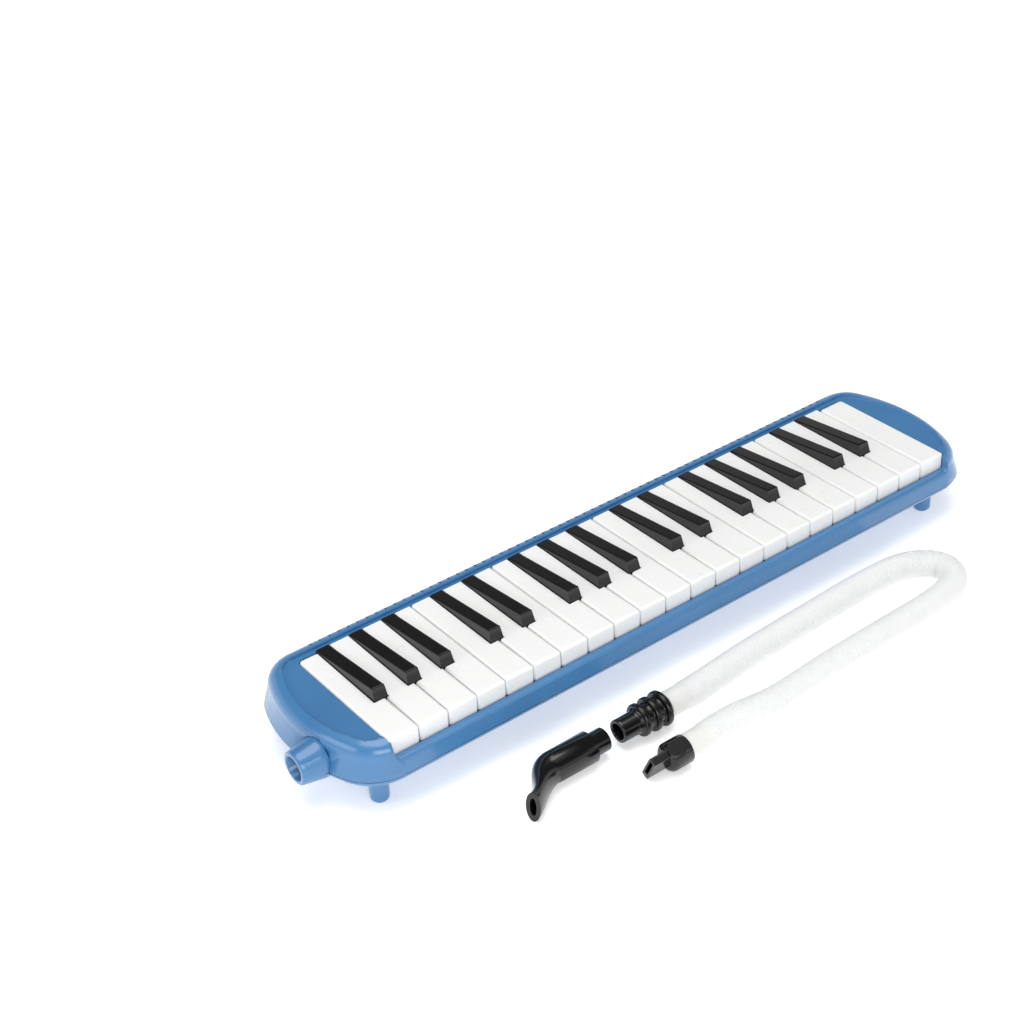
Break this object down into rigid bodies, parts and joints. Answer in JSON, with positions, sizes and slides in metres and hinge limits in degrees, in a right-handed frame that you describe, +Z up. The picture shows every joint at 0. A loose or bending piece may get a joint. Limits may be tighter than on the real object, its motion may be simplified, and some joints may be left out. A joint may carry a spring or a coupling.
{
  "type": "melodica",
  "caption": "Keyed free-reed wind instrument with a hinged piano keyboard over a wind chamber, a side mouthpiece socket, a drain button, a short mouthpiece and a blowing hose.",
  "frame": {"origin": "centre of the mouthpiece socket's mouth, on its axis", "axes": "+X along the instrument towards the high notes, +Y away from the player, +Z up with the instrument on its feet"},
  "size_m": [0.49, 0.1848, 0.0512],
  "materials": {
    "case_plastic": "gloss",
    "inner_plastic": "matt",
    "reed_plate_metal": "milled",
    "reed_bronze": "milled",
    "seal_rubber": "matt",
    "steel": "drawn",
    "spring_bronze": "rolled",
    "felt": "felted",
    "mouthpiece_plastic": "gloss",
    "hose_plastic": "milky translucent",
    "white_key_plastic": "satin gloss",
    "black_key_plastic": "gloss"
  },
  "bodies": {
    "case": {"top_cover": "case_plastic", "bottom_cover": "case_plastic", "wind_chamber": "inner_plastic", "reed_block": "inner_plastic", "reed_plate": "reed_plate_metal", "reeds": "reed_bronze", "chamber_gasket": "seal_rubber", "key_axle": "steel", "pivot_comb": "inner_plastic", "key_springs": "spring_bronze", "front_rail": "inner_plastic", "front_felt": "felt", "mouthpiece_socket": "case_plastic", "socket_seal": "seal_rubber", "case_screws": "steel", "chamber_screws": "steel", "drain_spring": "steel"},
    "key_f3": {"key_f3": "white_key_plastic"},
    "key_fs3": {"key_fs3": "black_key_plastic"},
    "key_g3": {"key_g3": "white_key_plastic"},
    "key_gs3": {"key_gs3": "black_key_plastic"},
    "key_a3": {"key_a3": "white_key_plastic"},
    "key_as3": {"key_as3": "black_key_plastic"},
    "key_b3": {"key_b3": "white_key_plastic"},
    "key_c4": {"key_c4": "white_key_plastic"},
    "key_cs4": {"key_cs4": "black_key_plastic"},
    "key_d4": {"key_d4": "white_key_plastic"},
    "key_ds4": {"key_ds4": "black_key_plastic"},
    "key_e4": {"key_e4": "white_key_plastic"},
    "key_f4": {"key_f4": "white_key_plastic"},
    "key_fs4": {"key_fs4": "black_key_plastic"},
    "key_g4": {"key_g4": "white_key_plastic"},
    "key_gs4": {"key_gs4": "black_key_plastic"},
    "key_a4": {"key_a4": "white_key_plastic"},
    "key_as4": {"key_as4": "black_key_plastic"},
    "key_b4": {"key_b4": "white_key_plastic"},
    "key_c5": {"key_c5": "white_key_plastic"},
    "key_cs5": {"key_cs5": "black_key_plastic"},
    "key_d5": {"key_d5": "white_key_plastic"},
    "key_ds5": {"key_ds5": "black_key_plastic"},
    "key_e5": {"key_e5": "white_key_plastic"},
    "key_f5": {"key_f5": "white_key_plastic"},
    "key_fs5": {"key_fs5": "black_key_plastic"},
    "key_g5": {"key_g5": "white_key_plastic"},
    "key_gs5": {"key_gs5": "black_key_plastic"},
    "key_a5": {"key_a5": "white_key_plastic"},
    "key_as5": {"key_as5": "black_key_plastic"},
    "key_b5": {"key_b5": "white_key_plastic"},
    "key_c6": {"key_c6": "white_key_plastic"},
    "key_cs6": {"key_cs6": "black_key_plastic"},
    "key_d6": {"key_d6": "white_key_plastic"},
    "key_ds6": {"key_ds6": "black_key_plastic"},
    "key_e6": {"key_e6": "white_key_plastic"},
    "key_f6": {"key_f6": "white_key_plastic"},
    "drain": {"drain_button": "case_plastic", "drain_seal": "seal_rubber"},
    "short_mouthpiece": {"short_mouthpiece": "mouthpiece_plastic"},
    "hose_set": {"hose": "hose_plastic", "hose_plug": "mouthpiece_plastic", "hose_mouthpiece": "mouthpiece_plastic"}
  },
  "joints": [
    {"name": "key_f3_press", "type": "hinge", "parent": "case", "child": "key_f3", "pos_m": [0, 0.034, 0.01], "axis": [1, 0, 0], "range_deg": [0, 3.9], "stiffness_Nm_per_rad": 0.02, "deforming": ["key_springs"]},
    {"name": "key_fs3_press", "type": "hinge", "parent": "case", "child": "key_fs3", "pos_m": [0, 0.034, 0.01], "axis": [1, 0, 0], "range_deg": [0, 3.9], "stiffness_Nm_per_rad": 0.02, "deforming": ["key_springs"]},
    {"name": "key_g3_press", "type": "hinge", "parent": "case", "child": "key_g3", "pos_m": [0, 0.034, 0.01], "axis": [1, 0, 0], "range_deg": [0, 3.9], "stiffness_Nm_per_rad": 0.02, "deforming": ["key_springs"]},
    {"name": "key_gs3_press", "type": "hinge", "parent": "case", "child": "key_gs3", "pos_m": [0, 0.034, 0.01], "axis": [1, 0, 0], "range_deg": [0, 3.9], "stiffness_Nm_per_rad": 0.02, "deforming": ["key_springs"]},
    {"name": "key_a3_press", "type": "hinge", "parent": "case", "child": "key_a3", "pos_m": [0, 0.034, 0.01], "axis": [1, 0, 0], "range_deg": [0, 3.9], "stiffness_Nm_per_rad": 0.02, "deforming": ["key_springs"]},
    {"name": "key_as3_press", "type": "hinge", "parent": "case", "child": "key_as3", "pos_m": [0, 0.034, 0.01], "axis": [1, 0, 0], "range_deg": [0, 3.9], "stiffness_Nm_per_rad": 0.02, "deforming": ["key_springs"]},
    {"name": "key_b3_press", "type": "hinge", "parent": "case", "child": "key_b3", "pos_m": [0, 0.034, 0.01], "axis": [1, 0, 0], "range_deg": [0, 3.9], "stiffness_Nm_per_rad": 0.02, "deforming": ["key_springs"]},
    {"name": "key_c4_press", "type": "hinge", "parent": "case", "child": "key_c4", "pos_m": [0, 0.034, 0.01], "axis": [1, 0, 0], "range_deg": [0, 3.9], "stiffness_Nm_per_rad": 0.02, "deforming": ["key_springs"]},
    {"name": "key_cs4_press", "type": "hinge", "parent": "case", "child": "key_cs4", "pos_m": [0, 0.034, 0.01], "axis": [1, 0, 0], "range_deg": [0, 3.9], "stiffness_Nm_per_rad": 0.02, "deforming": ["key_springs"]},
    {"name": "key_d4_press", "type": "hinge", "parent": "case", "child": "key_d4", "pos_m": [0, 0.034, 0.01], "axis": [1, 0, 0], "range_deg": [0, 3.9], "stiffness_Nm_per_rad": 0.02, "deforming": ["key_springs"]},
    {"name": "key_ds4_press", "type": "hinge", "parent": "case", "child": "key_ds4", "pos_m": [0, 0.034, 0.01], "axis": [1, 0, 0], "range_deg": [0, 3.9], "stiffness_Nm_per_rad": 0.02, "deforming": ["key_springs"]},
    {"name": "key_e4_press", "type": "hinge", "parent": "case", "child": "key_e4", "pos_m": [0, 0.034, 0.01], "axis": [1, 0, 0], "range_deg": [0, 3.9], "stiffness_Nm_per_rad": 0.02, "deforming": ["key_springs"]},
    {"name": "key_f4_press", "type": "hinge", "parent": "case", "child": "key_f4", "pos_m": [0, 0.034, 0.01], "axis": [1, 0, 0], "range_deg": [0, 3.9], "stiffness_Nm_per_rad": 0.02, "deforming": ["key_springs"]},
    {"name": "key_fs4_press", "type": "hinge", "parent": "case", "child": "key_fs4", "pos_m": [0, 0.034, 0.01], "axis": [1, 0, 0], "range_deg": [0, 3.9], "stiffness_Nm_per_rad": 0.02, "deforming": ["key_springs"]},
    {"name": "key_g4_press", "type": "hinge", "parent": "case", "child": "key_g4", "pos_m": [0, 0.034, 0.01], "axis": [1, 0, 0], "range_deg": [0, 3.9], "stiffness_Nm_per_rad": 0.02, "deforming": ["key_springs"]},
    {"name": "key_gs4_press", "type": "hinge", "parent": "case", "child": "key_gs4", "pos_m": [0, 0.034, 0.01], "axis": [1, 0, 0], "range_deg": [0, 3.9], "stiffness_Nm_per_rad": 0.02, "deforming": ["key_springs"]},
    {"name": "key_a4_press", "type": "hinge", "parent": "case", "child": "key_a4", "pos_m": [0, 0.034, 0.01], "axis": [1, 0, 0], "range_deg": [0, 3.9], "stiffness_Nm_per_rad": 0.02, "deforming": ["key_springs"]},
    {"name": "key_as4_press", "type": "hinge", "parent": "case", "child": "key_as4", "pos_m": [0, 0.034, 0.01], "axis": [1, 0, 0], "range_deg": [0, 3.9], "stiffness_Nm_per_rad": 0.02, "deforming": ["key_springs"]},
    {"name": "key_b4_press", "type": "hinge", "parent": "case", "child": "key_b4", "pos_m": [0, 0.034, 0.01], "axis": [1, 0, 0], "range_deg": [0, 3.9], "stiffness_Nm_per_rad": 0.02, "deforming": ["key_springs"]},
    {"name": "key_c5_press", "type": "hinge", "parent": "case", "child": "key_c5", "pos_m": [0, 0.034, 0.01], "axis": [1, 0, 0], "range_deg": [0, 3.9], "stiffness_Nm_per_rad": 0.02, "deforming": ["key_springs"]},
    {"name": "key_cs5_press", "type": "hinge", "parent": "case", "child": "key_cs5", "pos_m": [0, 0.034, 0.01], "axis": [1, 0, 0], "range_deg": [0, 3.9], "stiffness_Nm_per_rad": 0.02, "deforming": ["key_springs"]},
    {"name": "key_d5_press", "type": "hinge", "parent": "case", "child": "key_d5", "pos_m": [0, 0.034, 0.01], "axis": [1, 0, 0], "range_deg": [0, 3.9], "stiffness_Nm_per_rad": 0.02, "deforming": ["key_springs"]},
    {"name": "key_ds5_press", "type": "hinge", "parent": "case", "child": "key_ds5", "pos_m": [0, 0.034, 0.01], "axis": [1, 0, 0], "range_deg": [0, 3.9], "stiffness_Nm_per_rad": 0.02, "deforming": ["key_springs"]},
    {"name": "key_e5_press", "type": "hinge", "parent": "case", "child": "key_e5", "pos_m": [0, 0.034, 0.01], "axis": [1, 0, 0], "range_deg": [0, 3.9], "stiffness_Nm_per_rad": 0.02, "deforming": ["key_springs"]},
    {"name": "key_f5_press", "type": "hinge", "parent": "case", "child": "key_f5", "pos_m": [0, 0.034, 0.01], "axis": [1, 0, 0], "range_deg": [0, 3.9], "stiffness_Nm_per_rad": 0.02, "deforming": ["key_springs"]},
    {"name": "key_fs5_press", "type": "hinge", "parent": "case", "child": "key_fs5", "pos_m": [0, 0.034, 0.01], "axis": [1, 0, 0], "range_deg": [0, 3.9], "stiffness_Nm_per_rad": 0.02, "deforming": ["key_springs"]},
    {"name": "key_g5_press", "type": "hinge", "parent": "case", "child": "key_g5", "pos_m": [0, 0.034, 0.01], "axis": [1, 0, 0], "range_deg": [0, 3.9], "stiffness_Nm_per_rad": 0.02, "deforming": ["key_springs"]},
    {"name": "key_gs5_press", "type": "hinge", "parent": "case", "child": "key_gs5", "pos_m": [0, 0.034, 0.01], "axis": [1, 0, 0], "range_deg": [0, 3.9], "stiffness_Nm_per_rad": 0.02, "deforming": ["key_springs"]},
    {"name": "key_a5_press", "type": "hinge", "parent": "case", "child": "key_a5", "pos_m": [0, 0.034, 0.01], "axis": [1, 0, 0], "range_deg": [0, 3.9], "stiffness_Nm_per_rad": 0.02, "deforming": ["key_springs"]},
    {"name": "key_as5_press", "type": "hinge", "parent": "case", "child": "key_as5", "pos_m": [0, 0.034, 0.01], "axis": [1, 0, 0], "range_deg": [0, 3.9], "stiffness_Nm_per_rad": 0.02, "deforming": ["key_springs"]},
    {"name": "key_b5_press", "type": "hinge", "parent": "case", "child": "key_b5", "pos_m": [0, 0.034, 0.01], "axis": [1, 0, 0], "range_deg": [0, 3.9], "stiffness_Nm_per_rad": 0.02, "deforming": ["key_springs"]},
    {"name": "key_c6_press", "type": "hinge", "parent": "case", "child": "key_c6", "pos_m": [0, 0.034, 0.01], "axis": [1, 0, 0], "range_deg": [0, 3.9], "stiffness_Nm_per_rad": 0.02, "deforming": ["key_springs"]},
    {"name": "key_cs6_press", "type": "hinge", "parent": "case", "child": "key_cs6", "pos_m": [0, 0.034, 0.01], "axis": [1, 0, 0], "range_deg": [0, 3.9], "stiffness_Nm_per_rad": 0.02, "deforming": ["key_springs"]},
    {"name": "key_d6_press", "type": "hinge", "parent": "case", "child": "key_d6", "pos_m": [0, 0.034, 0.01], "axis": [1, 0, 0], "range_deg": [0, 3.9], "stiffness_Nm_per_rad": 0.02, "deforming": ["key_springs"]},
    {"name": "key_ds6_press", "type": "hinge", "parent": "case", "child": "key_ds6", "pos_m": [0, 0.034, 0.01], "axis": [1, 0, 0], "range_deg": [0, 3.9], "stiffness_Nm_per_rad": 0.02, "deforming": ["key_springs"]},
    {"name": "key_e6_press", "type": "hinge", "parent": "case", "child": "key_e6", "pos_m": [0, 0.034, 0.01], "axis": [1, 0, 0], "range_deg": [0, 3.9], "stiffness_Nm_per_rad": 0.02, "deforming": ["key_springs"]},
    {"name": "key_f6_press", "type": "hinge", "parent": "case", "child": "key_f6", "pos_m": [0, 0.034, 0.01], "axis": [1, 0, 0], "range_deg": [0, 3.9], "stiffness_Nm_per_rad": 0.02, "deforming": ["key_springs"]},
    {"name": "drain_press", "type": "slide", "parent": "case", "child": "drain", "axis": [0, 0, 1], "range_m": [0, 0.0013], "stiffness_N_per_m": 400, "deforming": ["drain_spring"]},
    {"name": "short_mouthpiece_lift", "type": "slide", "parent": "case", "child": "short_mouthpiece", "axis": [0, 0, 1], "range_m": [0, 0.1]},
    {"name": "hose_lift", "type": "slide", "parent": "case", "child": "hose_set", "axis": [0, 0, 1], "range_m": [0, 0.1]}
  ]
}
